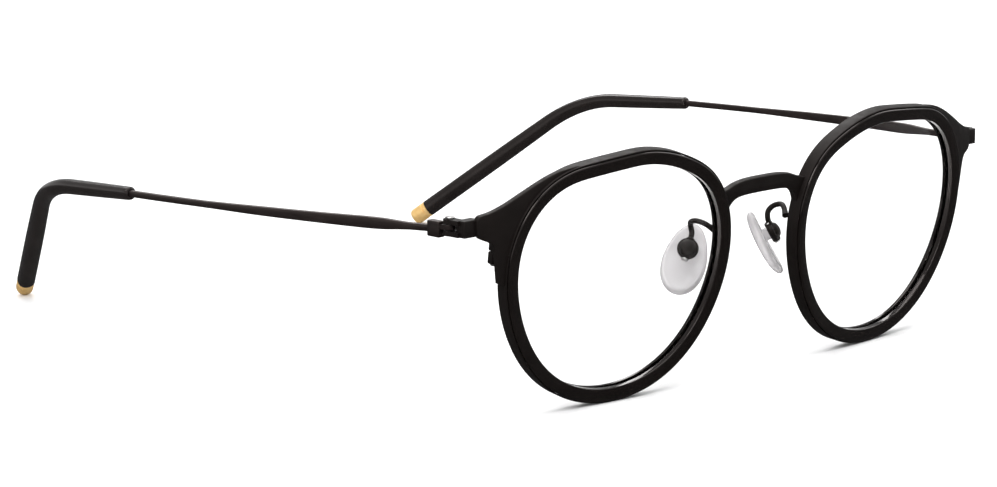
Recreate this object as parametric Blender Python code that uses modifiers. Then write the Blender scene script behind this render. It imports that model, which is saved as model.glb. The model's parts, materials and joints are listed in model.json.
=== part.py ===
"""Round eyeglasses: black ring inserts in a slim metal front, standing open on the rims and the temple tips.

Metres, +Z up, +Y to the back of the head, +X to the wearer's left, origin at the bottom centre of the box
round the whole object. The left half is modelled and the right half is its mirror image.
"""
import math

import bmesh
import bpy
from mathutils import Matrix, Vector

MM = 0.001

# ---- driving dimensions -------------------------------------------------------------------------------
LENS_WIDTH = 48.0 * MM
BRIDGE_WIDTH = 21.0 * MM
HALF_CENTRES = (LENS_WIDTH + BRIDGE_WIDTH) / 2      # from the middle plane to a lens centre
LENS_MID = Vector((0.0, -71.67, 22.302)) * MM        # the point midway between the two lens centres
TILT = math.radians(6.75)                           # the front leans, with its top forward
WRAP = math.radians(4.85)                           # each lens turns back towards its temple
BASE_RADIUS = 118.0 * MM                            # the front follows this sphere at each lens
SAG_MEAN = 2.15 * MM                                # the sphere's depth at the rim, taken off everywhere
GAP = 0.08 * MM                                     # between pieces that touch

# aperture outline: radius = MEAN + OVAL cos 2a + RISE sin a + SHOULDER sin 3a - SQUARE cos 4a
OUTLINE_MEAN = 21.69 * MM
OUTLINE_OVAL = 1.555 * MM
OUTLINE_RISE = 0.85 * MM
OUTLINE_SHOULDER = 0.94 * MM
OUTLINE_SQUARE = 0.405 * MM
# rounder top: (angle, spread, height) of a crest and of a hollow on either side of it
OUTLINE_CREST = [(98, 14, 0.45), (66, 12, -0.32), (128, 13, -0.42)]
OUTLINE_STEPS = 64

RING_WIDTH = 2.3 * MM                               # face width of the plastic ring
RING_DEPTH = 2.75 * MM
LENS_LIP = 0.8 * MM                                 # how far the ring covers the lens edge
LENS_THICK = 0.9 * MM
LENS_FRONT = 1.15 * MM                              # depth of the lens front behind the ring's face
WIRE_INNER = RING_WIDTH + GAP
WIRE_OUTER = 2.62 * MM                              # outer edge of the eyewire, from the aperture
WIRE_FRONT = 0.25 * MM
WIRE_BACK = 2.65 * MM
CLOSING_BEHIND = 0.38 * MM                          # closing blocks behind the eyewire's back, in the eye's frame
CLOSING_DEPTH = 1.35 * MM
SPLIT_HEIGHT = 7.1 * MM                             # where the eyewire opens to let the lens in

PLATE_FRONT = 0.1 * MM
PLATE_THICK = 1.1 * MM
BRIDGE_FRONT = -0.6 * MM                            # depth of the bridge behind the lens centres' plane
BRIDGE_THICK = 1.4 * MM

HINGE = LENS_MID + Vector((67.2, 8.5, 12.35)) * MM  # the left hinge, at the middle of its knuckles
KNUCKLE_RADIUS = 1.15 * MM
KNUCKLE_HEIGHT = 0.9 * MM
KNUCKLE_GAP = 0.12 * MM
WEB_STEP = 0.04 * MM                                # how much a web stands back from its knuckle
WEB_HALF = 0.96 * MM                                # half width of an end piece's web
PIN_RADIUS = 0.45 * MM
PIN_BORE = 0.51 * MM

BLADE_START = HINGE + Vector((0.55, 4.2, -0.65)) * MM
SLEEVE_START = LENS_MID + Vector((73.7, 86.0, 8.6)) * MM
BEND_POINT = LENS_MID + Vector((71.3, 114.0, 6.4)) * MM
SLEEVE_END = LENS_MID + Vector((54.35, 143.3, -18.83)) * MM
BEND_RADIUS = 25.0 * MM
BLADE_BOW = 2.0 * MM                                # how far the blade bows outwards
BLADE_THICK = 1.0 * MM
# distance along the blade and its height there
BLADE_HEIGHTS = [(0, 1.2), (4, 1.25), (6.5, 1.5), (9.5, 1.9), (13, 2.05), (17, 2.0), (24, 1.87), (31, 1.75),
                 (39, 1.6), (46, 1.38), (50, 1.26), (54, 1.2), (60, 1.2), (66, 1.2)]
CORE_RADIUS = 0.55 * MM
CORE_BORE = 0.66 * MM
SLEEVE_RADII = [(0, 0.95), (0.03, 1.2), (0.2, 1.38), (0.45, 1.5), (0.7, 1.68), (1, 1.72)]
CAP_LENGTH = 4.0 * MM

PAD_BOX = LENS_MID + Vector((11.5, 5.9, 1.3)) * MM # centre of the left pad box
PAD_DOWN = Vector((0.517, -0.121, -0.848)).normalized()
PAD_FACE = Vector((-0.645, 0.645, -0.409))          # towards the nose
PAD_LENGTH = 13.6 * MM
PAD_WIDTH = 7.9 * MM
PAD_THICK = 2.1 * MM
PAD_DROP = 1.4 * MM                                 # pad centre below the box, along the pad
PAD_STANDOFF = 2.8 * MM                             # pad centre from the box, towards the nose
BOX_RADIUS = 1.9 * MM
BOX_DEPTH = 1.8 * MM
ARM_RADIUS = 0.5 * MM
ARM_POINTS = [(9.6, 1.35, 5.0), (10.7, 2.7, 6.1), (11.4, 4.1, 6.5), (11.1, 5.6, 6.05), (10.45, 6.25, 5.1),
              (10.2, 6.2, 4.0), (10.45, 6.15, 3.05)]                   # from LENS_MID, rim to box


# ---- materials and collections ------------------------------------------------------------------------
def material(name, colour, roughness, metallic=0.0, alpha=1.0, transmission=0.0):
    made = bpy.data.materials.new(name)
    made.use_nodes = True
    shader = made.node_tree.nodes["Principled BSDF"]
    shader.inputs["Base Color"].default_value = (*colour, 1.0)
    shader.inputs["Roughness"].default_value = roughness
    shader.inputs["Metallic"].default_value = metallic
    shader.inputs["Alpha"].default_value = alpha
    shader.inputs["Transmission Weight"].default_value = transmission
    made.diffuse_color = (*colour, alpha)
    return made


def clear_scene():
    for item in list(bpy.data.objects):
        bpy.data.objects.remove(item, do_unlink=True)


clear_scene()
PARTS = bpy.data.collections.new("round_eyeglasses")
CUTTERS = bpy.data.collections.new("cutters")
for collection in (PARTS, CUTTERS):
    bpy.context.scene.collection.children.link(collection)

FRONT_METAL = material("matt_black_metal", (0.012, 0.011, 0.012), 0.45, 0.6)
TEMPLE_METAL = material("dark_gunmetal", (0.045, 0.032, 0.033), 0.35, 0.9)
GLOSS_BLACK = material("gloss_black_plastic", (0.006, 0.006, 0.007), 0.12)
SATIN_BLACK = material("satin_black_plastic", (0.02, 0.019, 0.02), 0.35)
BRASS = material("brass", (0.72, 0.48, 0.22), 0.25, 1.0)
STEEL = material("steel", (0.5, 0.5, 0.5), 0.3, 1.0)
CLEAR_LENS = material("clear_lens", (0.98, 0.99, 0.99), 0.02, alpha=0.2, transmission=1.0)
CLEAR_PAD = material("clear_pad", (0.8, 0.8, 0.81), 0.2, alpha=0.6, transmission=0.6)


# ---- general modelling helpers ------------------------------------------------------------------------
def link(name, mesh, finish=None):
    """An object in the parts collection, smooth where its faces meet gently."""
    piece = bpy.data.objects.new(name, mesh)
    PARTS.objects.link(piece)
    if finish:
        mesh.materials.clear()
        mesh.materials.append(finish)
    mesh.shade_smooth()
    mesh.set_sharp_from_angle(angle=math.radians(35))
    return piece


def as_cutter(piece):
    """Moves an object to the cutters, which only shape other pieces."""
    for owner in list(piece.users_collection):
        owner.objects.unlink(piece)
    CUTTERS.objects.link(piece)
    piece.hide_render = True
    piece.display_type = "WIRE"
    return piece


def evaluated_mesh(piece):
    bpy.context.view_layer.update()
    graph = bpy.context.evaluated_depsgraph_get()
    return bpy.data.meshes.new_from_object(piece.evaluated_get(graph))


def weld(mesh):
    """Joins the loose caps of a curve's mesh to it and turns every face outwards."""
    work = bmesh.new()
    work.from_mesh(mesh)
    bmesh.ops.remove_doubles(work, verts=work.verts, dist=0.001 * MM)
    bmesh.ops.recalc_face_normals(work, faces=work.faces)
    if work.calc_volume(signed=True) < 0:
        bmesh.ops.reverse_faces(work, faces=work.faces)
    work.to_mesh(mesh)
    work.free()
    return mesh


def curve_mesh(curve):
    """The mesh of a curve object; the curve itself is removed."""
    mesh = weld(evaluated_mesh(curve))
    mesh.transform(curve.matrix_world)
    data = curve.data
    bpy.data.objects.remove(curve)
    bpy.data.curves.remove(data)
    return mesh


def poly_curve(name, points, closed, flat):
    data = bpy.data.curves.new(name, "CURVE")
    data.dimensions = "2D" if flat else "3D"
    spline = data.splines.new("POLY")
    spline.points.add(len(points) - 1)
    for target, point in zip(spline.points, points):
        target.co = (*point, *([0.0] * (3 - len(point))), 1.0)
    spline.use_cyclic_u = closed
    curve = bpy.data.objects.new(name, data)
    PARTS.objects.link(curve)
    return curve


def face_on(depth):
    """From a drawing plane (X across, Y up) to a frame with Y as depth."""
    return Matrix.Translation((0, depth, 0)) @ Matrix.Rotation(math.pi / 2, 4, "X")


def plate_mesh(name, outline, front, thickness):
    """A flat plate of the given outline, facing -Y, in its frame."""
    curve = poly_curve(name, outline, closed=True, flat=True)
    curve.data.fill_mode = "BOTH"
    curve.data.extrude = thickness / 2
    mesh = curve_mesh(curve)
    mesh.transform(face_on(front + thickness / 2))
    return mesh


def box_mesh(name, low, high, frame=None, bevel=0.0):
    """A box between two corners, with its edges rounded if asked."""
    low, high = Vector(low), Vector(high)
    work = bmesh.new()
    bmesh.ops.create_cube(work, size=1.0)
    size = high - low
    bmesh.ops.scale(work, vec=size, verts=work.verts)
    bmesh.ops.translate(work, vec=(low + high) / 2, verts=work.verts)
    if bevel:
        bmesh.ops.bevel(work, geom=work.edges, offset=bevel, segments=2, profile=0.5, affect="EDGES")
    mesh = bpy.data.meshes.new(name)
    work.to_mesh(mesh)
    work.free()
    if frame:
        mesh.transform(frame)
    return mesh


def pin_mesh(name, radius, low, high, frame=None, sides=20):
    """A cylinder along Z between two heights."""
    work = bmesh.new()
    bmesh.ops.create_cone(work, cap_ends=True, segments=sides, radius1=radius, radius2=radius, depth=high - low)
    bmesh.ops.translate(work, vec=(0, 0, (low + high) / 2), verts=work.verts)
    mesh = bpy.data.meshes.new(name)
    work.to_mesh(mesh)
    work.free()
    if frame:
        mesh.transform(frame)
    return mesh


def turned_mesh(name, profile, sides):
    """A solid of revolution about Z. The profile is (radius, height), from its top to its bottom."""
    mesh = bpy.data.meshes.new(name)
    points = [(radius, 0, height) for radius, height in profile]
    mesh.from_pydata(points, [(i, i + 1) for i in range(len(points) - 1)], [])
    piece = bpy.data.objects.new(name, mesh)
    PARTS.objects.link(piece)
    screw = piece.modifiers.new("turn", "SCREW")
    screw.steps = screw.render_steps = sides
    screw.use_merge_vertices = True
    screw.merge_threshold = 0.001 * MM
    solid = weld(evaluated_mesh(piece))
    bpy.data.objects.remove(piece)
    return solid


def combine(piece, mesh, operation):
    """Adds, cuts or keeps a shape from a piece, as a Boolean modifier."""
    tool = as_cutter(link(f"{piece.name}_{operation.lower()}_{len(piece.modifiers)}", mesh))
    step = piece.modifiers.new(tool.name, "BOOLEAN")
    step.operation = operation
    step.solver = "EXACT"
    step.object = tool


def apply_all(piece):
    """Replaces a piece's mesh by its evaluated one, without its modifiers."""
    finish = piece.data.materials[0]
    mesh = weld(evaluated_mesh(piece))
    piece.modifiers.clear()
    piece.data = mesh
    mesh.materials.clear()
    mesh.materials.append(finish)


def pointing(direction, origin, toward=None):
    """A frame with Z along a direction and, if given, X as near as it can be to another."""
    z = Vector(direction).normalized()
    hint = Vector(toward) if toward else Vector((1, 0, 0))
    y = z.cross(hint).normalized()
    x = y.cross(z)
    turn = Matrix((x, y, z)).transposed().to_4x4()
    return Matrix.Translation(origin) @ turn


# ---- the lens outline and the eye's own frame ---------------------------------------------------------
def eye_frame():
    """Left eye: X to the temple, Y to the back, Z up, origin at the middle of the lens."""
    lean = Matrix.Translation(LENS_MID) @ Matrix.Rotation(TILT, 4, "X")
    return lean @ Matrix.Translation((HALF_CENTRES, 0, 0)) @ Matrix.Rotation(WRAP, 4, "Z")


def front_frame():
    return Matrix.Translation(LENS_MID) @ Matrix.Rotation(TILT, 4, "X")


EYE = eye_frame()
FRONT = front_frame()


def aperture(angle):
    """A point of the aperture: an oval with full shoulders and a flatter top."""
    radius = (OUTLINE_MEAN + OUTLINE_OVAL * math.cos(2 * angle) + OUTLINE_RISE * math.sin(angle)
              + OUTLINE_SHOULDER * math.sin(3 * angle) - OUTLINE_SQUARE * math.cos(4 * angle))
    for centre, spread, height in OUTLINE_CREST:
        away = math.degrees(math.remainder(angle - math.radians(centre), math.tau)) / spread
        radius += height * MM * math.exp(-away * away)
    return Vector((radius * math.cos(angle), radius * math.sin(angle)))


def rim_point(angle, offset):
    """A point at a distance outside the aperture."""
    step = math.radians(0.5)
    along = aperture(angle + step) - aperture(angle - step)
    outward = Vector((along.y, -along.x)).normalized()
    return aperture(angle) + outward * offset


def rim_arc(start, end, offset, steps):
    """Points along the rim from one angle (degrees) to another."""
    angles = [math.radians(start + (end - start) * i / steps) for i in range(steps + 1)]
    return [tuple(rim_point(angle, offset)) for angle in angles]


def full_outline(offset):
    return rim_arc(0, -360, offset, OUTLINE_STEPS)[:-1]


def sag(x, z):
    """How far back the front's sphere lies at a point of the eye's frame."""
    return (x * x + z * z) / (2 * BASE_RADIUS) - SAG_MEAN


def follow_base_curve(mesh):
    """Bends a flat shape in the eye's frame to the sphere that the front follows."""
    for vertex in mesh.vertices:
        vertex.co.y += sag(vertex.co.x, vertex.co.z)
    return mesh


def follow_rim(mesh):
    """Shifts a ring back by the sphere's depth at the aperture, so that its section stays square."""
    for vertex in mesh.vertices:
        edge = aperture(math.atan2(vertex.co.z, vertex.co.x))
        vertex.co.y += sag(edge.x, edge.y)


def swept_ring(name, section):
    """A ring round the aperture. The section's points are (distance outside the aperture, depth)."""
    guide = poly_curve(name + "_section", [(-out, -depth) for out, depth in section], closed=True, flat=True)
    path = poly_curve(name, full_outline(0.0), closed=True, flat=True)
    path.data.bevel_mode = "OBJECT"
    path.data.bevel_object = guide
    mesh = curve_mesh(path)
    data = guide.data
    bpy.data.objects.remove(guide)
    bpy.data.curves.remove(data)
    mesh.transform(face_on(0.0))
    follow_rim(mesh)
    mesh.transform(EYE)
    return mesh


# ---- front --------------------------------------------------------------------------------------------
def make_rim_ring():
    """Glossy ring: rounded front edges, and a groove inside that holds the lens."""
    w, d = RING_WIDTH, RING_DEPTH
    groove = LENS_LIP + 0.15 * MM
    lens_back = LENS_FRONT + LENS_THICK
    section = [(0.0, 0.15 * MM), (0.15 * MM, -0.01 * MM), (0.6 * MM, -0.07 * MM), (w - 0.3 * MM, -0.1 * MM),
               (w - 0.09 * MM, -0.03 * MM), (w, 0.15 * MM), (w, d - 0.6 * MM), (w - 0.6 * MM, d), (0.1 * MM, d),
               (0.0, d - 0.1 * MM), (0.0, lens_back + 0.12 * MM), (groove, lens_back + 0.25 * MM),
               (groove, LENS_FRONT + 0.05 * MM), (0.0, LENS_FRONT - 0.12 * MM)]
    return link("left_rim_ring", swept_ring("left_rim_ring", section), GLOSS_BLACK)


def make_eyewire():
    """Matt metal band round the ring, split at the closing blocks."""
    edge = 0.1 * MM
    section = [(WIRE_INNER, WIRE_FRONT), (WIRE_OUTER - edge, WIRE_FRONT), (WIRE_OUTER, WIRE_FRONT + edge),
               (WIRE_OUTER, WIRE_BACK - edge), (WIRE_OUTER - edge, WIRE_BACK), (WIRE_INNER, WIRE_BACK)]
    wire = link("left_eyewire", swept_ring("left_eyewire", section), FRONT_METAL)
    half = 0.07 * MM
    low = (22 * MM, -1 * MM, SPLIT_HEIGHT - half)
    high = (28 * MM, 6 * MM, SPLIT_HEIGHT + half)
    combine(wire, box_mesh("split", low, high, EYE), "DIFFERENCE")
    apply_all(wire)
    return wire


def make_lens():
    """A round curved blank, edged to the outline."""
    radii = [r * MM for r in (0, 10, 18, 22, 25, 28)]
    front = [(r, -(LENS_FRONT + sag(r, 0.0))) for r in radii]
    back = [(r, height - LENS_THICK) for r, height in reversed(front)]
    lens = link("left_lens", turned_mesh("left_lens", front + back, 32), CLEAR_LENS)
    edge = poly_curve("edge", full_outline(LENS_LIP), closed=True, flat=True)
    edge.data.fill_mode = "BOTH"
    edge.data.extrude = 12 * MM
    combine(lens, curve_mesh(edge), "INTERSECT")
    apply_all(lens)
    lens.data.transform(EYE @ face_on(0.0))
    return lens


def make_end_piece():
    """Flared plate beside the rim, the block at its end and the two outer hinge knuckles."""
    inner = rim_arc(3, 55, WIRE_OUTER + GAP, 14)
    outer = [(14.6, 20.75), (16.4, 20.35), (19.1, 19.2), (22.7, 17.35), (26.0, 15.55), (28.6, 14.4), (30.2, 13.95),
             (30.85, 13.6), (31.12, 12.9), (31.12, 11.6), (30.9, 10.5), (30.4, 9.9), (29.3, 9.55), (28.4, 9.05),
             (27.85, 8.1), (27.45, 6.6), (27.1, 4.3)]
    outline = inner + [(x * MM, z * MM) for x, z in outer]
    mesh = plate_mesh("left_end_piece", outline, PLATE_FRONT, PLATE_THICK)
    follow_base_curve(mesh)
    mesh.transform(EYE)
    piece = link("left_end_piece", mesh, FRONT_METAL)
    x, y, z = HINGE
    half = 1.5 * KNUCKLE_HEIGHT + KNUCKLE_GAP
    block_low = (x - 3.0 * MM, y - 4.1 * MM, z - half)
    block_high = (x + 0.5 * MM, y - 1.9 * MM, z + half)
    combine(piece, box_mesh("block", block_low, block_high, bevel=0.18 * MM), "UNION")
    inner_edge = KNUCKLE_HEIGHT / 2 + KNUCKLE_GAP
    for low, high in ((-half, -inner_edge), (inner_edge, half)):
        web_low = (x - WEB_HALF, y - 2.8 * MM, z + low + WEB_STEP)
        web_high = (x + WEB_HALF, y - 0.17 * MM, z + high - WEB_STEP)
        combine(piece, box_mesh("web", web_low, web_high), "UNION")
        spot = Matrix.Translation((x, y, z))
        combine(piece, pin_mesh("knuckle", KNUCKLE_RADIUS, low, high, spot), "UNION")
    apply_all(piece)
    combine(piece, pin_mesh("bore", PIN_BORE, -3 * MM, 3 * MM, Matrix.Translation(HINGE), 20), "DIFFERENCE")
    apply_all(piece)
    return piece


def rim_envelope(side):
    """The space that the eyewire fills, with its gap, as a cutter; side is 1 for left, -1 for right."""
    mesh = plate_mesh("rim_envelope", full_outline(WIRE_OUTER + GAP), -6 * MM, 14 * MM)
    mesh.transform(Matrix.Scale(side, 4, (1, 0, 0)) @ EYE)
    return weld(mesh)


def make_bridge():
    """Flat arched bar between the rims, with a short leg down each rim."""
    right_half = [(0.0, 14.1), (2.6, 14.08), (5.0, 13.95), (7.4, 13.55), (9.6, 12.8), (11.6, 12.4), (14.5, 12.4),
                  (14.5, 7.2), (9.75, 7.2), (9.3, 8.0), (8.9, 9.0), (8.35, 9.9), (7.35, 10.65), (5.8, 11.05),
                  (3.6, 11.2), (0.0, 11.25)]
    half = [(x * MM, z * MM) for x, z in right_half]
    other = [(-x, z) for x, z in reversed(half[1:-1])]
    mesh = plate_mesh("bridge", half + other, BRIDGE_FRONT, BRIDGE_THICK)
    mesh.transform(FRONT)
    bridge = link("bridge", mesh, FRONT_METAL)
    for side in (1, -1):
        combine(bridge, rim_envelope(side), "DIFFERENCE")
    apply_all(bridge)
    return bridge


def make_closing_blocks():
    """The two halves that clamp the split eyewire behind the end piece, and their screw."""
    x0, x1 = 25.25 * MM, 27.0 * MM
    y0 = WIRE_BACK + CLOSING_BEHIND
    y1 = y0 + CLOSING_DEPTH
    spans = {"upper": (SPLIT_HEIGHT + GAP, SPLIT_HEIGHT + 2.2 * MM),
             "lower": (SPLIT_HEIGHT - 2.2 * MM, SPLIT_HEIGHT - GAP)}
    axis = EYE @ Matrix.Translation(((x0 + x1) / 2, (y0 + y1) / 2, SPLIT_HEIGHT))
    blocks = []
    for name, (low, high) in spans.items():
        mesh = box_mesh(name, (x0, y0, low), (x1, y1, high), bevel=0.2 * MM)
        mesh.transform(EYE)
        block = link(f"left_closing_block_{name}", mesh, FRONT_METAL)
        combine(block, pin_mesh("bore", 0.34 * MM, -4 * MM, 4 * MM, axis, 16), "DIFFERENCE")
        apply_all(block)
        blocks.append(block)
    frame = axis @ Matrix.Rotation(math.pi, 4, "X")
    blocks.append(make_screw("left_closing_screw", 0.28, -2.0, 2.3, 0.5, 0.3, frame))
    return blocks


def make_screw(name, radius, low, high, head_radius, head_height, frame):
    """A slotted screw along Z with its head on top; sizes in millimetres."""
    top = high + head_height
    profile = [(0, top), (head_radius - 0.15, top), (head_radius, top - 0.12), (head_radius, high), (radius, high),
               (radius, low + 0.1), (radius - 0.1, low), (0, low)]
    profile = [(r * MM, z * MM) for r, z in profile]
    screw = link(name, turned_mesh(name, profile, 12), STEEL)
    slot_low = (-2 * MM, -0.1 * MM, (top - 0.15) * MM)
    slot_high = (2 * MM, 0.1 * MM, (top + 1) * MM)
    combine(screw, box_mesh("slot", slot_low, slot_high), "DIFFERENCE")
    apply_all(screw)
    screw.data.transform(frame)
    return screw


# ---- nose pads ----------------------------------------------------------------------------------------
def smooth_route(points, per_span):
    """A curve through the points (Catmull-Rom)."""
    points = [Vector(point) for point in points]
    ends = [points[0] * 2 - points[1]] + points + [points[-1] * 2 - points[-2]]
    route = []
    for a, b, c, d in zip(ends, ends[1:], ends[2:], ends[3:]):
        for step in range(per_span):
            t = step / per_span
            route.append(0.5 * (2 * b + (c - a) * t + (2 * a - 5 * b + 4 * c - d) * t * t
                                + (3 * b - a - 3 * c + d) * t ** 3))
    route.append(points[-1])
    return route


def tube_mesh(name, route, radii, resolution=2):
    """A round bar along a route, its radius given at each point."""
    curve = poly_curve(name, [tuple(point) for point in route], closed=False, flat=False)
    curve.data.bevel_depth = 1.0 * MM
    curve.data.bevel_resolution = resolution
    curve.data.use_fill_caps = True
    for point, radius in zip(curve.data.splines[0].points, radii):
        point.radius = radius / MM
    return curve_mesh(curve)


def pad_frame():
    """X across the pad, Y down along it, Z towards the nose, origin at the box centre."""
    z = (PAD_FACE - PAD_FACE.dot(PAD_DOWN) * PAD_DOWN).normalized()
    x = PAD_DOWN.cross(z)
    turn = Matrix((x, PAD_DOWN, z)).transposed().to_4x4()
    return Matrix.Translation(PAD_BOX) @ turn


PAD = pad_frame()
PIVOT_DEPTH = 0.2 * MM                              # the pad screw's axis, towards the nose


def make_pad_arm():
    route = smooth_route([LENS_MID + Vector(point) * MM for point in ARM_POINTS], 4)
    mesh = tube_mesh("left_pad_arm", route, [ARM_RADIUS] * len(route))
    return link("left_pad_arm", mesh, FRONT_METAL)


def make_pad_box():
    """Round cup with a slot for the pad's boss and a bore for the pad screw."""
    half = BOX_DEPTH / 2
    edge = 0.2 * MM
    profile = [(0, half), (BOX_RADIUS - edge, half), (BOX_RADIUS, half - edge), (BOX_RADIUS, -half + edge),
               (BOX_RADIUS - edge, -half), (0, -half)]
    box = link("left_pad_box", turned_mesh("left_pad_box", profile, 20), FRONT_METAL)
    slot_low = (-0.75 * MM, -1.25 * MM, -0.55 * MM)
    slot_high = (0.75 * MM, 1.25 * MM, 3 * MM)
    combine(box, box_mesh("slot", slot_low, slot_high), "DIFFERENCE")
    across = Matrix.Translation((0, 0, PIVOT_DEPTH)) @ Matrix.Rotation(-math.pi / 2, 4, "X")
    combine(box, pin_mesh("bore", 0.42 * MM, -4 * MM, 4 * MM, across, 16), "DIFFERENCE")
    apply_all(box)
    box.data.transform(PAD)
    screw = make_screw("left_pad_screw", 0.35, -1.8, 1.95, 0.65, 0.35, PAD @ across)
    return [box, screw]


def make_pad():
    """Egg-shaped clear pad, thin at its edge, and the boss that the screw holds."""
    work = bmesh.new()
    bmesh.ops.create_uvsphere(work, u_segments=20, v_segments=10, radius=1.0)
    for vertex in work.verts:
        x, y, z = vertex.co
        widen = 1.0 + 0.14 * y
        thick = math.copysign(abs(z) ** 0.75, z)
        vertex.co = (x * widen * PAD_WIDTH / 2, y * PAD_LENGTH / 2, thick * PAD_THICK / 2 - 0.35 * MM * y * y)
    mesh = bpy.data.meshes.new("left_nose_pad")
    work.to_mesh(mesh)
    work.free()
    mesh.transform(PAD @ Matrix.Translation((0, PAD_DROP, PAD_STANDOFF)))
    pad = link("left_nose_pad", mesh, CLEAR_PAD)
    across = Matrix.Translation((0, 0, PIVOT_DEPTH)) @ Matrix.Rotation(-math.pi / 2, 4, "X")
    half_length = 1.1 * MM
    half_width = 0.55 * MM
    back_of_pad = PAD_STANDOFF - PAD_THICK / 2 - 0.12 * MM
    boss_mesh = pin_mesh("left_pad_boss", half_width, -half_length, half_length, across, 20)
    boss = link("left_pad_boss", boss_mesh, CLEAR_PAD)
    stem_low = (-half_width + WEB_STEP, -half_length + WEB_STEP, PIVOT_DEPTH)
    stem_high = (half_width - WEB_STEP, half_length - WEB_STEP, back_of_pad)
    combine(boss, box_mesh("stem", stem_low, stem_high), "UNION")
    combine(boss, pin_mesh("bore", 0.4 * MM, -4 * MM, 4 * MM, across, 16), "DIFFERENCE")
    apply_all(boss)
    boss.data.transform(PAD)
    return [pad, boss]


# ---- temples ------------------------------------------------------------------------------------------
def make_temple_hinge():
    """Block at the front of the temple, with the middle knuckle."""
    x, y, z = HINGE
    low = (x - 0.15 * MM, y + 1.35 * MM, z - 1.95 * MM)
    high = (x + 1.35 * MM, y + 4.1 * MM, z + 0.85 * MM)
    block = link("left_temple_hinge", box_mesh("left_temple_hinge", low, high, bevel=0.2 * MM), TEMPLE_METAL)
    half = KNUCKLE_HEIGHT / 2
    web_low = (x + 0.08 * MM, y + 0.17 * MM, z - half + WEB_STEP)
    web_high = (x + KNUCKLE_RADIUS - WEB_STEP, y + 1.8 * MM, z + half - WEB_STEP)
    combine(block, box_mesh("web", web_low, web_high), "UNION")
    spot = Matrix.Translation(HINGE)
    combine(block, pin_mesh("knuckle", KNUCKLE_RADIUS, -half, half, spot), "UNION")
    combine(block, pin_mesh("bore", PIN_BORE, -3 * MM, 3 * MM, spot), "DIFFERENCE")
    apply_all(block)
    screw = make_screw("left_hinge_screw", 0.45, -1.5, 1.56, 0.8, 0.25, spot)
    return block, screw


def sleeve_route():
    """Centre line of the tip: straight, one bend, and straight to the cap."""
    into = (BEND_POINT - SLEEVE_START).normalized()
    away = (SLEEVE_END - BEND_POINT).normalized()
    angle = into.angle(away)
    reach = BEND_RADIUS * math.tan(angle / 2)
    first = BEND_POINT - into * reach
    centre = first + (away - into.dot(away) * into).normalized() * BEND_RADIUS
    spoke = first - centre
    axis = into.cross(away).normalized()
    route = [SLEEVE_START.lerp(first, i / 8) for i in range(8)]
    route += [centre + Matrix.Rotation(angle * i / 10, 3, axis) @ spoke for i in range(11)]
    last = route[-1]
    route += [last.lerp(SLEEVE_END, i / 10) for i in range(1, 11)]
    return route


def along(table, position):
    """Reads a table of (position, value) with straight lines between its rows."""
    for (a, low), (b, high) in zip(table, table[1:]):
        if position <= b:
            return low + (high - low) * (position - a) / (b - a)
    return table[-1][1]


def make_blade():
    """Flat bar, widest behind the hinge and bowed outwards, and the round core inside the tip."""
    direction = SLEEVE_START - BLADE_START
    length = direction.length - 0.4 * MM
    rows = [(s * MM, h * MM / 2) for s, h in BLADE_HEIGHTS] + [(length, BLADE_HEIGHTS[-1][1] * MM / 2)]
    outline = [(s, h) for s, h in rows] + [(s, -h) for s, h in reversed(rows)]
    curve = poly_curve("left_temple_blade", outline, closed=True, flat=True)
    curve.data.fill_mode = "BOTH"
    curve.data.extrude = BLADE_THICK / 2
    mesh = curve_mesh(curve)
    blade = link("left_temple_blade", mesh, TEMPLE_METAL)
    edge = blade.modifiers.new("edges", "BEVEL")
    edge.width = 0.15 * MM
    edge.segments = 1
    edge.limit_method = "ANGLE"
    edge.angle_limit = math.radians(60)
    apply_all(blade)
    for vertex in blade.data.vertices:
        t = vertex.co.x / length
        vertex.co.z += BLADE_BOW * 4 * t * (1 - t)
    outward = Vector((1, 0, 0))
    x = direction.normalized()
    z = (outward - outward.dot(x) * x).normalized()
    y = z.cross(x)
    turn = Matrix((x, y, z)).transposed().to_4x4()
    blade.data.transform(Matrix.Translation(BLADE_START) @ turn)
    route = sleeve_route()
    lead = route[0] - direction.normalized() * 3 * MM
    core = [lead] + route[:-3]
    combine(blade, tube_mesh("core", core, [CORE_RADIUS] * len(core)), "UNION")
    apply_all(blade)
    return blade


def make_sleeve():
    """Tapered plastic tip with a bore for the core and for the cap's peg."""
    route = sleeve_route()
    reach = [0.0]
    for a, b in zip(route, route[1:]):
        reach.append(reach[-1] + (b - a).length)
    first = route[0].lerp(route[1], 0.25)
    route.insert(1, first)
    reach.insert(1, (first - route[0]).length)
    radii = [along(SLEEVE_RADII, s / reach[-1]) * MM for s in reach]
    sleeve = link("left_tip_sleeve", tube_mesh("left_tip_sleeve", route, radii, 3), SATIN_BLACK)
    before = route[0] * 2 - route[2]
    after = route[-1] * 2 - route[-2]
    bore = [before] + route[2:] + [after]
    combine(sleeve, tube_mesh("bore", bore, [CORE_BORE] * len(bore), 2), "DIFFERENCE")
    apply_all(sleeve)
    return sleeve


def make_cap():
    """Brass-coloured end cap with a peg in the sleeve."""
    radius = SLEEVE_RADII[-1][1] * MM
    peg = CORE_BORE - 0.06 * MM
    top = -GAP
    end = -CAP_LENGTH
    profile = [(0, 1.6 * MM), (peg, 1.6 * MM), (peg, top), (radius - 0.05 * MM, top), (radius, top - 0.1 * MM),
               (radius, end + 0.6 * MM), (radius - 0.15 * MM, end + 0.28 * MM), (radius - 0.5 * MM, end + 0.05 * MM),
               (radius - 0.8 * MM, end), (0, end)]
    route = sleeve_route()
    away = (route[-2] - route[-1]).normalized()
    mesh = turned_mesh("left_tip_cap", profile, 20)
    mesh.transform(pointing(away, SLEEVE_END))
    return link("left_tip_cap", mesh, BRASS)


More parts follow.
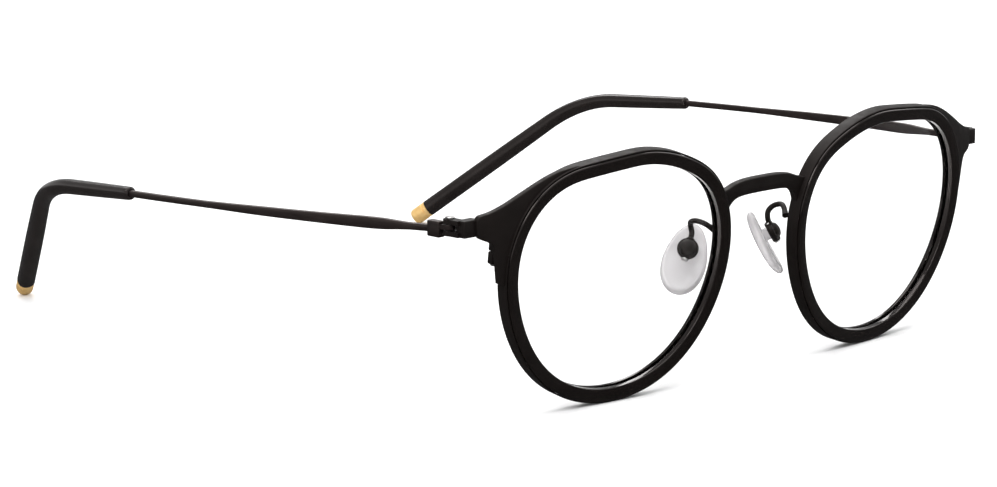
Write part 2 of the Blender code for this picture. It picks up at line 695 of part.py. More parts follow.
# ---- assembly -----------------------------------------------------------------------------------------
def axis_empty(name, point):
    empty = bpy.data.objects.new(name, None)
    empty.empty_display_size = 5 * MM
    empty.location = point
    PARTS.objects.link(empty)
    return empty


def hang(piece, empty):
    """Puts a piece's origin on its joint's axis and makes it follow the empty there."""
    piece.data.transform(Matrix.Translation(-empty.location))
    piece.parent = empty


def mirrored(piece):
    """The right-hand copy of a left-hand piece."""
    mesh = piece.data.copy()
    mesh.transform(Matrix.Scale(-1, 4, (1, 0, 0)))
    mesh.flip_normals()
    return link(piece.name.replace("left_", "right_"), mesh, piece.data.materials[0])


def build():
    temple_hinge, hinge_screw = make_temple_hinge()
    front = [make_rim_ring(), make_eyewire(), make_lens(), make_end_piece(), *make_closing_blocks(),
             make_pad_arm(), *make_pad_box(), hinge_screw]
    temple = [temple_hinge, make_blade(), make_sleeve(), make_cap()]
    pad = make_pad()
    pivot = PAD @ Vector((0, 0, PIVOT_DEPTH))
    make_bridge()
    copies = {piece: mirrored(piece) for piece in front + temple + pad}
    for side, flip in (("left", 1), ("right", -1)):
        hinge_axis = axis_empty(f"{side}_temple_axis", (flip * HINGE.x, HINGE.y, HINGE.z))
        pad_axis = axis_empty(f"{side}_pad_axis", (flip * pivot.x, pivot.y, pivot.z))
        for group, empty in ((temple, hinge_axis), (pad, pad_axis)):
            for piece in group:
                hang(piece if side == "left" else copies[piece], empty)


build()
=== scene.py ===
"""Looks of the round eyeglasses: polished ring inserts in a matt black metal front, gunmetal temples,
satin tips with gold caps, clear lenses and clear nose pads, standing open on a pale floor.

Metres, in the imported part's own frame. The left half of each pair is built and the right half is its mirror
image.
"""
import json
import math

import bmesh
import bpy
from mathutils import Matrix, Vector


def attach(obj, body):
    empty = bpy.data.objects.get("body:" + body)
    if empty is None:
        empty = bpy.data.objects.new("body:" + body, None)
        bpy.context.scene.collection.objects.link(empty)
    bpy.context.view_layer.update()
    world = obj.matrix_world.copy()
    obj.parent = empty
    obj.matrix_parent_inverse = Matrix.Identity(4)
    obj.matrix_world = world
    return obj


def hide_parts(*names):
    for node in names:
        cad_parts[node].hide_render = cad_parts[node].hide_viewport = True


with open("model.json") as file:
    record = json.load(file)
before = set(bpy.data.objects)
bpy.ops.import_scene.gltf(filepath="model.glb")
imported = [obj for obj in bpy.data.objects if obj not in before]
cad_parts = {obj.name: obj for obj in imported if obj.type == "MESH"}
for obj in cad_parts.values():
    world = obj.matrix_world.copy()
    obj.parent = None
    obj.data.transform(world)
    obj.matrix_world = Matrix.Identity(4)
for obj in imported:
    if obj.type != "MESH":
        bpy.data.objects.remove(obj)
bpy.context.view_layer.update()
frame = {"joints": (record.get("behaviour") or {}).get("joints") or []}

MM = 0.001

# ---- places and sizes ---------------------------------------------------------------------------------
JOINTS = {joint["name"]: joint for joint in frame["joints"]}
HINGE = Vector(JOINTS["left_temple_fold"]["pos_m"])
LENS_MID = HINGE - Vector((67.2, 8.5, 12.35)) * MM
HALF_CENTRES = 34.5 * MM                            # from the middle plane to a lens centre
TILT = math.radians(6.75)                           # the front leans, with its top forward
WRAP = math.radians(4.85)                           # each lens turns back towards its temple
BASE_RADIUS = 118.0 * MM                            # the front follows this sphere at each lens
SAG_MEAN = 2.15 * MM                                # the sphere's depth at the rim, taken off everywhere

# aperture outline: radius = MEAN + OVAL cos 2a + RISE sin a + SHOULDER sin 3a - SQUARE cos 4a
OUTLINE_MEAN = 21.69 * MM
OUTLINE_OVAL = 1.555 * MM
OUTLINE_RISE = 0.85 * MM
OUTLINE_SHOULDER = 0.94 * MM
OUTLINE_SQUARE = 0.405 * MM
# rounder top of the rims: (angle, spread, height) of a crest and of a hollow on either side of it
OUTLINE_CREST = [(98, 14, 0.45), (66, 12, -0.32), (128, 13, -0.42)]

RING_WIDTH = 2.3 * MM
RING_DEPTH = 2.75 * MM
RING_CROWN = 0.1 * MM                               # the ring's face is back by this inside, forward outside
LENS_LIP = 0.8 * MM                                 # how far the ring covers the lens edge
LENS_THICK = 0.9 * MM
LENS_FRONT = 1.15 * MM                              # depth of the lens front behind the ring's face
WIRE_INNER = RING_WIDTH + 0.05 * MM
WIRE_OUTER = 2.62 * MM                              # outer edge of the eyewire, from the aperture
WIRE_FRONT = 0.25 * MM
WIRE_BACK = 2.65 * MM
SPLIT_HEIGHT = 7.1 * MM                             # where the eyewire opens to let the lens in
SPLIT_HALF = 0.06 * MM                              # half of the slit in the eyewire
CLOSING_INNER = 25.25 * MM                          # closing blocks, from the lens centre outwards
CLOSING_OUTER = 27.0 * MM
CLOSING_FRONT = 3.03 * MM
CLOSING_DEPTH = 1.35 * MM
PLATE_FRONT = 0.1 * MM
PLATE_THICK = 1.1 * MM
PLATE_EDGE = 0.22 * MM                              # radius of the plate's edges
BRIDGE_FRONT = -0.6 * MM                            # depth of the bridge behind the lens centres' plane
BRIDGE_THICK = 1.4 * MM
BRIDGE_EDGE = 0.2 * MM

KNUCKLE_RADIUS = 1.15 * MM
KNUCKLE_HEIGHT = 0.9 * MM
KNUCKLE_GAP = 0.12 * MM
WEB_STEP = 0.04 * MM                                # how much a web stands back from its knuckle
WEB_HALF = 0.96 * MM                                # half width of an end piece's web
PIN_BORE = 0.5 * MM
BLADE_START = HINGE + Vector((0.55, 4.2, -0.65)) * MM
SLEEVE_START = LENS_MID + Vector((73.7, 86.0, 8.6)) * MM
BEND_POINT = LENS_MID + Vector((71.3, 114.0, 6.4)) * MM
SLEEVE_END = LENS_MID + Vector((54.35, 143.3, -18.83)) * MM
BEND_RADIUS = 25.0 * MM
BLADE_BOW = 2.0 * MM                                # how far the blade bows outwards
BLADE_THICK = 1.0 * MM
# distance along the blade and its height there
BLADE_HEIGHTS = [(0, 1.2), (4, 1.25), (6.5, 1.5), (9.5, 1.9), (13, 2.05), (17, 2.0), (24, 1.87), (31, 1.75),
                 (39, 1.6), (46, 1.38), (50, 1.26), (54, 1.2), (60, 1.2), (66, 1.2)]
# share of the sleeve's length and its radius there
SLEEVE_RADII = [(0, 1.22), (0.05, 1.27), (0.2, 1.38), (0.45, 1.5), (0.7, 1.68), (1, 1.72)]
CAP_LENGTH = 4.0 * MM

PAD_DOWN = Vector(JOINTS["left_pad_tilt"]["axis"]).normalized()
PAD_PIVOT = Vector(JOINTS["left_pad_tilt"]["pos_m"])
PAD_FACE = Vector((-0.645, 0.645, -0.409))
PIVOT_DEPTH = 0.2 * MM                              # the pad's axis, outside the box centre
PAD_LENGTH = 13.6 * MM
PAD_WIDTH = 7.9 * MM
PAD_THICK = 2.1 * MM
PAD_DROP = 1.4 * MM                                 # the pad's middle, below the box
PAD_STANDOFF = 2.8 * MM                             # the pad's middle, away from the box
ARM_RADIUS = 0.5 * MM
# the pad arm's centre line, from LENS_MID
ARM_POINTS = [(9.6, 1.35, 5.0), (10.7, 2.7, 6.1), (11.4, 4.1, 6.5), (11.1, 5.6, 6.05), (10.45, 6.25, 5.1),
              (10.2, 6.2, 4.0), (10.45, 6.15, 3.05)]


def eye_frame():
    """X across the left lens, Y to the back, Z up, origin at the lens centre."""
    lean = Matrix.Translation(LENS_MID) @ Matrix.Rotation(TILT, 4, "X")
    return lean @ Matrix.Translation((HALF_CENTRES, 0, 0)) @ Matrix.Rotation(WRAP, 4, "Z")


def pad_frame():
    """X across the pad, Y down along it, Z towards the nose, origin at the box centre."""
    z = (PAD_FACE - PAD_FACE.dot(PAD_DOWN) * PAD_DOWN).normalized()
    x = PAD_DOWN.cross(z)
    turn = Matrix((x, PAD_DOWN, z)).transposed().to_4x4()
    return Matrix.Translation(PAD_PIVOT - z * PIVOT_DEPTH) @ turn


EYE = eye_frame()
FRONT = Matrix.Translation(LENS_MID) @ Matrix.Rotation(TILT, 4, "X")
PAD = pad_frame()
ACROSS = Matrix.Translation((0, 0, PIVOT_DEPTH)) @ Matrix.Rotation(-math.pi / 2, 4, "X")


def aperture(angle):
    """The edge of the opening, about the lens centre."""
    radius = (OUTLINE_MEAN + OUTLINE_OVAL * math.cos(2 * angle) + OUTLINE_RISE * math.sin(angle)
              + OUTLINE_SHOULDER * math.sin(3 * angle) - OUTLINE_SQUARE * math.cos(4 * angle))
    for centre, spread, height in OUTLINE_CREST:
        away = math.degrees(math.remainder(angle - math.radians(centre), math.tau)) / spread
        radius += height * MM * math.exp(-away * away)
    return Vector((radius * math.cos(angle), radius * math.sin(angle)))


def rim_point(angle, offset):
    """A point outside the aperture, measured square to its edge."""
    step = math.radians(0.5)
    along = aperture(angle + step) - aperture(angle - step)
    return aperture(angle) + Vector((along.y, -along.x)).normalized() * offset


def sag(x, z):
    """Depth of the front's curve at a point of the left eye."""
    return (x * x + z * z) / (2 * BASE_RADIUS) - SAG_MEAN


def on_eye(x, z, depth):
    """A point behind the left eye's curved front, in the part's frame."""
    return EYE @ Vector((x, depth + sag(x, z), z))


# ---- materials ----------------------------------------------------------------------------------------
WARM = (1.0, 0.9, 0.87, 1.0)                        # tint of the black pieces' shine
NOISE_LOW = 0.3                                     # most of a noise texture lies between these two
NOISE_HIGH = 0.7


def shader_material(name, colour, roughness, metallic=0.0, **sockets):
    made = bpy.data.materials.new(name)
    made.use_nodes = True
    shader = made.node_tree.nodes["Principled BSDF"]
    shader.inputs["Base Color"].default_value = (*colour, 1.0)
    shader.inputs["Roughness"].default_value = roughness
    shader.inputs["Metallic"].default_value = metallic
    for socket, value in sockets.items():
        shader.inputs[socket.replace("_", " ")].default_value = value
    return made


def noise(made, scale, detail=3.0, stretch=(1, 1, 1)):
    """A noise texture in the piece's own coordinates, stretched if asked."""
    nodes, links = made.node_tree.nodes, made.node_tree.links
    place = nodes.new("ShaderNodeTexCoord")
    mapping = nodes.new("ShaderNodeMapping")
    mapping.inputs["Scale"].default_value = stretch
    texture = nodes.new("ShaderNodeTexNoise")
    texture.inputs["Scale"].default_value = scale
    texture.inputs["Detail"].default_value = detail
    texture.inputs["Roughness"].default_value = 0.5
    links.new(place.outputs["Object"], mapping.inputs["Vector"])
    links.new(mapping.outputs["Vector"], texture.inputs["Vector"])
    return texture.outputs["Fac"]


def vary_roughness(made, source, low, high):
    """Roughness between two values, as the source goes."""
    nodes, links = made.node_tree.nodes, made.node_tree.links
    span = nodes.new("ShaderNodeMapRange")
    span.inputs["From Min"].default_value = NOISE_LOW
    span.inputs["From Max"].default_value = NOISE_HIGH
    span.inputs["To Min"].default_value = low
    span.inputs["To Max"].default_value = high
    links.new(source, span.inputs["Value"])
    links.new(span.outputs["Result"], nodes["Principled BSDF"].inputs["Roughness"])


def vary_colour(made, source, dark, light):
    """Colour between two others, as the source goes."""
    nodes, links = made.node_tree.nodes, made.node_tree.links
    ramp = nodes.new("ShaderNodeValToRGB")
    ramp.color_ramp.elements[0].position = NOISE_LOW
    ramp.color_ramp.elements[1].position = NOISE_HIGH
    ramp.color_ramp.elements[0].color = (*dark, 1)
    ramp.color_ramp.elements[1].color = (*light, 1)
    links.new(source, ramp.inputs["Fac"])
    links.new(ramp.outputs["Color"], nodes["Principled BSDF"].inputs["Base Color"])


def add_bump(made, source, distance, strength):
    nodes, links = made.node_tree.nodes, made.node_tree.links
    bump = nodes.new("ShaderNodeBump")
    bump.inputs["Distance"].default_value = distance
    bump.inputs["Strength"].default_value = strength
    links.new(source, bump.inputs["Height"])
    links.new(bump.outputs["Normal"], nodes["Principled BSDF"].inputs["Normal"])


def matt_black():
    """Fine powder-like lacquer on metal."""
    made = shader_material("matt_black_lacquer", (0.006, 0.0045, 0.004), 0.5, Specular_IOR_Level=0.2,
                           Specular_Tint=WARM)
    grain = noise(made, 9000, detail=2)
    vary_roughness(made, noise(made, 700), 0.42, 0.56)
    vary_colour(made, noise(made, 260), (0.005, 0.0036, 0.0032), (0.0075, 0.0057, 0.0051))
    add_bump(made, grain, 0.012 * MM, 0.35)
    return made


def gloss_black():
    """Polished black acetate with a slight waviness."""
    made = shader_material("gloss_black_acetate", (0.0045, 0.0034, 0.003), 0.11, Specular_IOR_Level=0.5,
                           Specular_Tint=WARM)
    vary_roughness(made, noise(made, 420), 0.08, 0.15)
    vary_colour(made, noise(made, 160), (0.0036, 0.0026, 0.0023), (0.0058, 0.0045, 0.0041))
    add_bump(made, noise(made, 190, detail=1), 0.03 * MM, 0.25)
    return made


def gunmetal():
    """Dark brushed plating: the grain runs along the temple."""
    made = shader_material("dark_gunmetal", (0.05, 0.038, 0.036), 0.38, 0.85)
    streaks = noise(made, 5200, detail=4, stretch=(1, 0.03, 1))
    vary_roughness(made, streaks, 0.3, 0.46)
    vary_colour(made, noise(made, 900, stretch=(1, 0.08, 1)), (0.036, 0.027, 0.026), (0.062, 0.049, 0.046))
    add_bump(made, streaks, 0.01 * MM, 0.4)
    return made


def satin_black():
    """Rubbed acetate of the tips."""
    made = shader_material("satin_black_acetate", (0.012, 0.0092, 0.0088), 0.3, Specular_IOR_Level=0.4,
                           Specular_Tint=WARM)
    vary_roughness(made, noise(made, 600), 0.17, 0.25)
    vary_colour(made, noise(made, 220), (0.008, 0.0064, 0.006), (0.012, 0.0098, 0.0094))
    add_bump(made, noise(made, 5000, detail=2), 0.01 * MM, 0.3)
    return made


def gold():
    """Satin gold plating of the end caps."""
    made = shader_material("satin_gold", (0.93, 0.62, 0.27), 0.34, 0.55)
    vary_roughness(made, noise(made, 3000), 0.28, 0.4)
    vary_colour(made, noise(made, 500), (0.9, 0.57, 0.21), (1.0, 0.68, 0.29))
    add_bump(made, noise(made, 7000, detail=3), 0.006 * MM, 0.35)
    return made


def steel():
    """Bare screw steel."""
    made = shader_material("screw_steel", (0.55, 0.54, 0.53), 0.28, 1.0)
    vary_roughness(made, noise(made, 4000), 0.2, 0.36)
    vary_colour(made, noise(made, 1500), (0.45, 0.44, 0.43), (0.62, 0.61, 0.6))
    return made


def lens_clear():
    """Coated lens: a low index keeps its reflections faint."""
    made = shader_material("clear_lens", (0.995, 0.998, 0.998), 0.0, IOR=1.12, Transmission_Weight=1.0)
    vary_roughness(made, noise(made, 60), 0.0, 0.012)
    return made


def pad_clear():
    """Slightly frosted silicone."""
    made = shader_material("clear_pad", (0.74, 0.72, 0.73), 0.22, IOR=1.42, Transmission_Weight=0.5)
    vary_roughness(made, noise(made, 900), 0.1, 0.2)
    vary_colour(made, noise(made, 300), (0.71, 0.69, 0.7), (0.77, 0.75, 0.76))
    add_bump(made, noise(made, 1400, detail=2), 0.02 * MM, 0.2)
    return made


MATT = matt_black()
GLOSS = gloss_black()
GUNMETAL = gunmetal()
SATIN = satin_black()
GOLD = gold()
STEEL = steel()
LENS = lens_clear()
PAD_MATERIAL = pad_clear()


# ---- mesh helpers -------------------------------------------------------------------------------------
def grid_mesh(name, rows, loop_rows=False, loop_points=True, caps=False):
    """A mesh through rows of points. Caps close the first and the last row."""
    work = bmesh.new()
    grid = [[work.verts.new(point) for point in row] for row in rows]
    pairs = list(zip(grid, grid[1:]))
    if loop_rows:
        pairs.append((grid[-1], grid[0]))
    for low, high in pairs:
        count = len(low) if loop_points else len(low) - 1
        for i in range(count):
            j = (i + 1) % len(low)
            work.faces.new((low[i], low[j], high[j], high[i]))
    if caps:
        work.faces.new(grid[0])
        work.faces.new(list(reversed(grid[-1])))
    return finished(name, work)


def finished(name, work):
    """A mesh from a bmesh, with its faces turned outwards."""
    bmesh.ops.remove_doubles(work, verts=work.verts, dist=0.0005 * MM)
    bmesh.ops.recalc_face_normals(work, faces=work.faces)
    if work.calc_volume(signed=True) < 0:
        bmesh.ops.reverse_faces(work, faces=work.faces)
    mesh = bpy.data.meshes.new(name)
    work.to_mesh(mesh)
    work.free()
    return mesh


def fillet(corners, steps=5):
    """A closed outline from corners (x, y, radius), in millimetres, with each corner rounded."""
    points = []
    for i, (x, y, radius) in enumerate(corners):
        here = Vector((x, y))
        before = Vector(corners[i - 1][:2]) - here
        after = Vector(corners[(i + 1) % len(corners)][:2]) - here
        if radius <= 0:
            points.append(here)
            continue
        reach = min(radius, before.length * 0.5, after.length * 0.5)
        start = here + before.normalized() * reach
        end = here + after.normalized() * reach
        for step in range(steps + 1):
            t = step / steps
            points.append(start * (1 - t) ** 2 + here * (2 * t * (1 - t)) + end * t * t)
    return [point * MM for point in points]


def smooth_route(points, per_span):
    """A curve through the points (Catmull-Rom)."""
    points = [Vector(point) for point in points]
    ends = [points[0] * 2 - points[1]] + points + [points[-1] * 2 - points[-2]]
    route = []
    for a, b, c, d in zip(ends, ends[1:], ends[2:], ends[3:]):
        for step in range(per_span):
            t = step / per_span
            route.append(0.5 * (2 * b + (c - a) * t + (2 * a - 5 * b + 4 * c - d) * t * t
                                + (3 * b - a - 3 * c + d) * t ** 3))
    route.append(points[-1])
    return route


def smooth_table(table, position):
    """Reads a table of (position, value) with smooth slopes between its rows."""
    rows = [table[0]] + list(table) + [table[-1]]
    for (a0, v0), (a, v), (b, w), (b1, w1) in zip(rows, rows[1:], rows[2:], rows[3:]):
        if position <= b:
            t = (position - a) / (b - a)
            slope_a = (w - v0) / (b - a0) * (b - a)
            slope_b = (w1 - v) / (b1 - a) * (b - a)
            return (v * (2 * t ** 3 - 3 * t * t + 1) + slope_a * (t ** 3 - 2 * t * t + t)
                    + w * (3 * t * t - 2 * t ** 3) + slope_b * (t ** 3 - t * t))
    return table[-1][1]


def carried_frames(route, first_side):
    """(side, other) directions across a route, turned as little as possible along it."""
    frames = []
    side = Vector(first_side)
    for i in range(len(route)):
        ahead = route[min(i + 1, len(route) - 1)] - route[max(i - 1, 0)]
        ahead.normalize()
        side = (side - side.dot(ahead) * ahead).normalized()
        frames.append((side, ahead.cross(side)))
    return frames


def bar(name, route, radii, frames, sides=24, square=2.0):
    """A closed bar along a route, with frames across it; square above 2 flattens its sides a little."""
    rows = []
    for point, radius, (side, other) in zip(route, radii, frames):
        row = []
        for i in range(sides):
            angle = 2 * math.pi * i / sides
            c, s = math.cos(angle), math.sin(angle)
            scale = radius / (abs(c) ** square + abs(s) ** square) ** (1 / square)
            row.append(point + (side * c + other * s) * scale)
        rows.append(row)
    return grid_mesh(name, rows, caps=True)


def turned(name, profile, sides=32):
    """A solid of revolution about Z from (radius, height) in millimetres, top to bottom."""
    work = bmesh.new()
    rings = []
    for radius, height in profile:
        if radius <= 0:
            rings.append([work.verts.new((0, 0, height * MM))])
            continue
        ring = []
        for i in range(sides):
            angle = 2 * math.pi * i / sides
            place = (radius * MM * math.cos(angle), radius * MM * math.sin(angle), height * MM)
            ring.append(work.verts.new(place))
        rings.append(ring)
    for high, low in zip(rings, rings[1:]):
        for i in range(sides):
            j = (i + 1) % sides
            corners = [high[i % len(high)], low[i % len(low)], low[j % len(low)], high[j % len(high)]]
            unique = list(dict.fromkeys(corners))
            if len(unique) > 2:
                work.faces.new(unique)
    return finished(name, work)


def block(name, low, high, bevel, segments=3):
    """A box between two corners in millimetres, with rounded edges."""
    low, high = Vector(low) * MM, Vector(high) * MM
    work = bmesh.new()
    bmesh.ops.create_cube(work, size=1.0)
    bmesh.ops.scale(work, vec=high - low, verts=work.verts)
    bmesh.ops.translate(work, vec=(low + high) / 2, verts=work.verts)
    if bevel:
        bmesh.ops.bevel(work, geom=work.edges, offset=bevel * MM, segments=segments, profile=0.5,
                        affect="EDGES")
    return finished(name, work)


def show(name, mesh, material, body, nodes=(), sharp=38):
    """A visible piece on a body, standing for CAD nodes."""
    piece = linked(name, mesh)
    mesh.materials.clear()
    mesh.materials.append(material)
    mesh.shade_smooth()
    mesh.set_sharp_from_angle(angle=math.radians(sharp))
    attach(piece, body)
    if nodes:
        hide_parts(*nodes)
    return piece


def pair(name, mesh, material, body, nodes=(), sharp=38):
    """The left piece and its mirror image. Names, bodies and nodes are given for the left side."""
    other = mesh.copy()
    other.transform(Matrix.Scale(-1, 4, (1, 0, 0)))
    other.flip_normals()
    for side, data in (("left", mesh), ("right", other)):
        swap = [node.replace("left_", side + "_") for node in nodes]
        show(f"{side}_{name}", data, material, body.replace("left_", side + "_"), swap, sharp)


def linked(name, data):
    """A new object in the scene."""
    made = bpy.data.objects.new(name, data)
    bpy.context.scene.collection.objects.link(made)
    return made


def applied(piece, helpers=()):
    """The piece's mesh with its modifiers applied. The piece and its helpers are removed."""
    bpy.context.view_layer.update()
    graph = bpy.context.evaluated_depsgraph_get()
    made = bpy.data.meshes.new_from_object(piece.evaluated_get(graph))
    for item in (piece, *helpers):
        bpy.data.objects.remove(item)
    return made


def boolean(mesh, tools, operation):
    """The mesh joined with, or cut by, other meshes."""
    piece = linked("work", mesh)
    helpers = []
    for tool in tools:
        helper = linked("tool", tool)
        step = piece.modifiers.new("step", "BOOLEAN")
        step.operation = operation
        step.solver = "EXACT"
        step.object = helper
        helpers.append(helper)
    made = applied(piece, helpers)
    work = bmesh.new()
    work.from_mesh(made)
    return finished(made.name, work)


def moved(mesh, matrix):
    """The same mesh, in another place."""
    mesh.transform(matrix)
    return mesh


# ---- front --------------------------------------------------------------------------------------------
RIM_STEPS = 288


def swept_rim(name, section):
    """A ring with one section, (outwards, depth), all round the aperture."""
    rows = []
    for i in range(RIM_STEPS):
        angle = 2 * math.pi * i / RIM_STEPS
        base = aperture(angle)
        row = []
        for out, depth in section:
            place = rim_point(angle, out)
            row.append(EYE @ Vector((place.x, depth + sag(base.x, base.y), place.y)))
        rows.append(row)
    return grid_mesh(name, rows, loop_rows=True)


def make_ring():
    """Polished ring: crowned face, rounded edges, and a groove that holds the lens."""
    w, d = RING_WIDTH / MM, RING_DEPTH / MM
    crown = RING_CROWN / MM
    chamfer = 0.6
    groove = 0.93
    lens_front = LENS_FRONT / MM
    lens_back = (LENS_FRONT + LENS_THICK) / MM
    corners = [(0.0, crown, 0.15), (1.2, 0.01 - crown, 0.7), (w, -crown, 0.34), (w, d - chamfer, 0.2),
               (w - chamfer, d, 0.3), (0.0, d, 0.12), (0.0, lens_back + 0.12, 0.06),
               (groove, lens_back + 0.2, 0), (groove, lens_front + 0.05, 0), (0.0, lens_front - 0.14, 0.06)]
    mesh = swept_rim("ring", fillet(corners, 6))
    pair("ring_insert", mesh, GLOSS, "front", ["left_rim_ring"], sharp=50)


def make_eyewire():
    """Slim matt band round the ring."""
    a, b = WIRE_INNER / MM, WIRE_OUTER / MM
    corners = [(a, WIRE_FRONT / MM, 0.08), (b, WIRE_FRONT / MM, 0.2), (b, WIRE_BACK / MM, 0.2),
               (a, WIRE_BACK / MM, 0.08)]
    mesh = swept_rim("eyewire", fillet(corners, 4))
    low, high = (SPLIT_HEIGHT - SPLIT_HALF) / MM, (SPLIT_HEIGHT + SPLIT_HALF) / MM
    slit = block("slit", (21, -1, low), (29, 7, high), 0)
    mesh = boolean(mesh, [moved(slit, EYE)], "DIFFERENCE")
    pair("eyewire_band", mesh, MATT, "front", ["left_eyewire"])


def make_lens():
    """Curved clear lens with a bevelled edge that sits in the ring's groove."""
    rings, steps = 18, 160
    hub = 0.02
    bevel = 0.25 * MM
    margin = 0.1 * MM

    def surface(ring, depth, shrink):
        share = hub + (1 - hub) * ring / rings
        row = []
        for i in range(steps):
            place = rim_point(2 * math.pi * i / steps, LENS_LIP - shrink) * share
            row.append(on_eye(place.x, place.y, depth))
        return row

    shrinks = [margin] * rings + [bevel]
    front = [surface(ring, LENS_FRONT, shrink) for ring, shrink in enumerate(shrinks)]
    back = [surface(ring, LENS_FRONT + LENS_THICK, shrink) for ring, shrink in enumerate(shrinks)]
    edge = surface(rings, LENS_FRONT + LENS_THICK / 2, 0.0)
    mesh = grid_mesh("lens", front + [edge] + back[::-1], caps=True)
    pair("clear_lens", mesh, LENS, "front", ["left_lens"])


def plate_outline():
    """Outer edge of the flared plate from the top of the rim to below the closing blocks."""
    sweep = [(11.6, 21.3), (13.6, 21.0), (16.0, 20.45), (19.1, 19.2), (22.7, 17.35), (26.0, 15.55),
             (28.6, 14.4), (30.2, 13.95)]
    drop = [(30.8, 13.65), (31.1, 13.0), (31.12, 11.8), (31.0, 10.8), (30.6, 10.05), (30.0, 9.75),
            (29.2, 9.55)]
    tail = [(28.4, 9.05), (27.85, 8.1), (27.45, 6.6), (27.1, 4.3), (26.75, 2.0)]
    return smooth_route([Vector(point) for point in sweep + drop + tail], 7)


def falling_angles(outline):
    """Angles round the aperture for the points of an outline, always falling and evened out."""
    angles = []
    lowest = math.radians(66)
    for point in outline:
        lowest = min(lowest - math.radians(0.02), math.atan2(point.y, point.x))
        angles.append(lowest)
    passes = 12
    for _ in range(passes):
        inside = [(a + b + c) / 3 for a, b, c in zip(angles, angles[1:], angles[2:])]
        angles = [angles[0]] + inside + [angles[-1]]
    return angles


def plate_section(across):
    """(along, depth) from the rim to the plate's rounded outer edge and back, in millimetres."""
    front, thick, edge = PLATE_FRONT / MM, PLATE_THICK / MM, PLATE_EDGE / MM
    turns = [math.pi / 2 * i / 5 for i in range(6)]
    middle = max(across - edge, 0) * 0.5
    reach = across - edge
    section = [(0, front), (middle, front)]
    section += [(reach + edge * math.sin(t), front + edge - edge * math.cos(t)) for t in turns]
    section += [(reach + edge * math.cos(t), front + thick - edge + edge * math.sin(t)) for t in turns]
    return section + [(middle, front + thick), (0, front + thick)]


def plate_mesh():
    """The flared plate, from under the eyewire's edge to its own outer edge."""
    outer = plate_outline()
    rows = []
    for point, angle in zip(outer, falling_angles(outer)):
        start = rim_point(angle, WIRE_OUTER - 0.2 * MM)
        end = point * MM
        direction = (end - start).normalized()
        row = []
        for along, depth in plate_section((end - start).length / MM):
            place = start + direction * (along * MM)
            row.append(on_eye(place.x, place.y, depth * MM))
        rows.append(row)
    return grid_mesh("plate", rows, caps=True)


def knuckle_mesh(low, high, edge):
    """One hinge knuckle between two heights in millimetres, with rounded edges."""
    radius = KNUCKLE_RADIUS / MM
    profile = [(0, high), (radius - edge, high), (radius, high - edge), (radius, low + edge),
               (radius - edge, low), (0, low)]
    return turned("knuckle", profile, 36)


def bore_mesh(radius, reach, sides):
    """A round tool for a bore along Z, in millimetres."""
    return turned("bore", [(0, reach), (radius, reach), (radius, -reach), (0, -reach)], sides)


def make_end_piece():
    """Flared plate beside the rim, with the block at its end and the two outer hinge knuckles."""
    spot = Matrix.Translation(HINGE)
    half = (1.5 * KNUCKLE_HEIGHT + KNUCKLE_GAP) / MM
    inner_edge = (KNUCKLE_HEIGHT / 2 + KNUCKLE_GAP) / MM
    web_half, web_step = WEB_HALF / MM, WEB_STEP / MM
    pieces = [block("block", (-3.0, -4.1, -half), (0.5, -1.9, half), 0.2, 4)]
    for low, high in ((-half, -inner_edge), (inner_edge, half)):
        pieces.append(block("web", (-web_half, -2.9, low + web_step), (web_half, -0.15, high - web_step), 0))
        pieces.append(knuckle_mesh(low, high, 0.12))
    mesh = boolean(plate_mesh(), [moved(piece, spot) for piece in pieces], "UNION")
    mesh = boolean(mesh, [moved(bore_mesh(PIN_BORE / MM, 3, 24), spot)], "DIFFERENCE")
    pair("end_piece_metal", mesh, MATT, "front", ["left_end_piece"], sharp=32)


def bridge_outline():
    """Closed outline of the bridge bar in the front's plane, in millimetres."""
    top = [(0.0, 14.1), (2.6, 14.08), (5.0, 13.95), (7.4, 13.55), (9.6, 12.8), (11.6, 12.4)]
    under = [(9.75, 7.2), (9.3, 8.0), (8.9, 9.0), (8.35, 9.9), (7.35, 10.65), (5.8, 11.05), (3.6, 11.2),
             (0.0, 11.25)]
    inside_rim = [Vector((14.5, 12.4)), Vector((14.5, 7.2))]
    half = smooth_route(top, 5) + inside_rim + smooth_route(under, 5)
    return half + [Vector((-point.x, point.y)) for point in reversed(half[1:-1])]


def rounded_plate(name, outline, thick, edge):
    """A flat plate with rounded edges, from an outline in millimetres."""
    data = bpy.data.curves.new(name, "CURVE")
    data.dimensions = "2D"
    spline = data.splines.new("POLY")
    spline.points.add(len(outline) - 1)
    for target, point in zip(spline.points, outline):
        target.co = (point.x * MM, point.y * MM, 0.0, 1.0)
    spline.use_cyclic_u = True
    data.fill_mode = "BOTH"
    data.bevel_depth = edge
    data.bevel_resolution = 3
    data.offset = -edge
    data.extrude = thick / 2 - edge
    work = bmesh.new()
    work.from_mesh(applied(linked(name, data)))
    return finished(name, work)


def rim_space(side):
    """A tool that clears the inside of one eyewire; side is 1 on the left and -1 on the right."""
    rows = []
    for depth in (-6 * MM, 8 * MM):
        row = []
        for i in range(RIM_STEPS):
            place = rim_point(2 * math.pi * i / RIM_STEPS, WIRE_OUTER - 0.3 * MM)
            row.append(Matrix.Scale(side, 4, (1, 0, 0)) @ EYE @ Vector((place.x, depth, place.y)))
        rows.append(row)
    return grid_mesh("rim_space", rows, caps=True)


